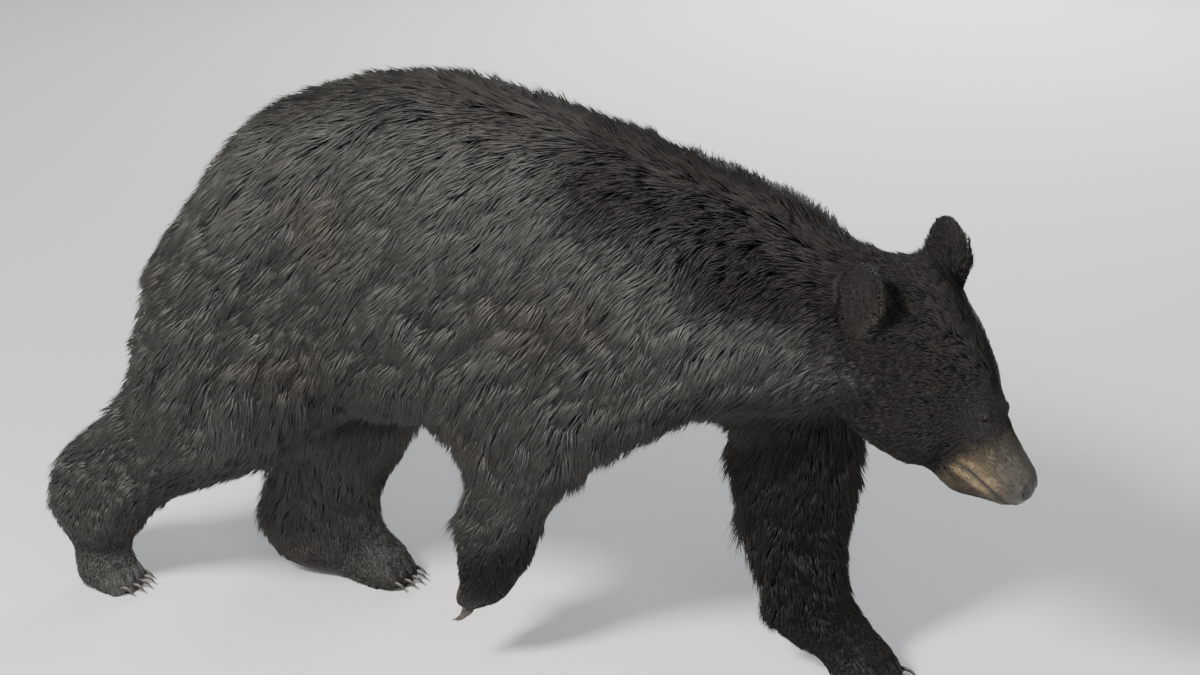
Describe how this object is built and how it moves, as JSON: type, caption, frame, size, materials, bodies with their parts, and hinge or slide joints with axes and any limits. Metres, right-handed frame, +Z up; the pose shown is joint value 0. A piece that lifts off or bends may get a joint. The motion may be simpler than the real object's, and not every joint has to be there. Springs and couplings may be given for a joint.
{
  "type": "black bear",
  "caption": "Life-size black bear walking with its head low, one hind foot pushing off and a forefoot lifted.",
  "frame": {"origin": "on the floor, at the middle of the bear's outline seen from above", "axes": "+X the way the bear walks, +Y the bear's left, +Z up from the floor"},
  "size_m": [1.6186, 0.4926, 0.9048],
  "materials": {
    "coat": "long black fur, brownish on the back, dark grey where light falls on it",
    "muzzle_fur": "short tan fur with a greyer bridge",
    "nose_pad": "moist dark grey skin",
    "eye": "glossy dark brown",
    "claw": "dull dark horn"
  },
  "bodies": {
    "root": {"trunk": "coat", "neck": "coat", "head": "coat", "muzzle": "muzzle_fur", "lower_jaw": "coat", "nose": "nose_pad", "eye_right": "eye", "eye_left": "eye", "ear_right": "coat", "ear_left": "coat", "tail": "coat", "thigh_right": "coat", "leg_hind_right": "coat", "paw_hind_right": "coat", "claw_hind_right_1": "claw", "claw_hind_right_2": "claw", "claw_hind_right_3": "claw", "claw_hind_right_4": "claw", "claw_hind_right_5": "claw", "thigh_left": "coat", "leg_hind_left": "coat", "paw_hind_left": "coat", "claw_hind_left_1": "claw", "claw_hind_left_2": "claw", "claw_hind_left_3": "claw", "claw_hind_left_4": "claw", "claw_hind_left_5": "claw", "leg_front_right": "coat", "paw_front_right": "coat", "claw_front_right_1": "claw", "claw_front_right_2": "claw", "claw_front_right_3": "claw", "claw_front_right_4": "claw", "claw_front_right_5": "claw", "leg_front_left": "coat", "paw_front_left": "coat", "claw_front_left_1": "claw", "claw_front_left_2": "claw", "claw_front_left_3": "claw", "claw_front_left_4": "claw", "claw_front_left_5": "claw"}
  },
  "joints": []
}
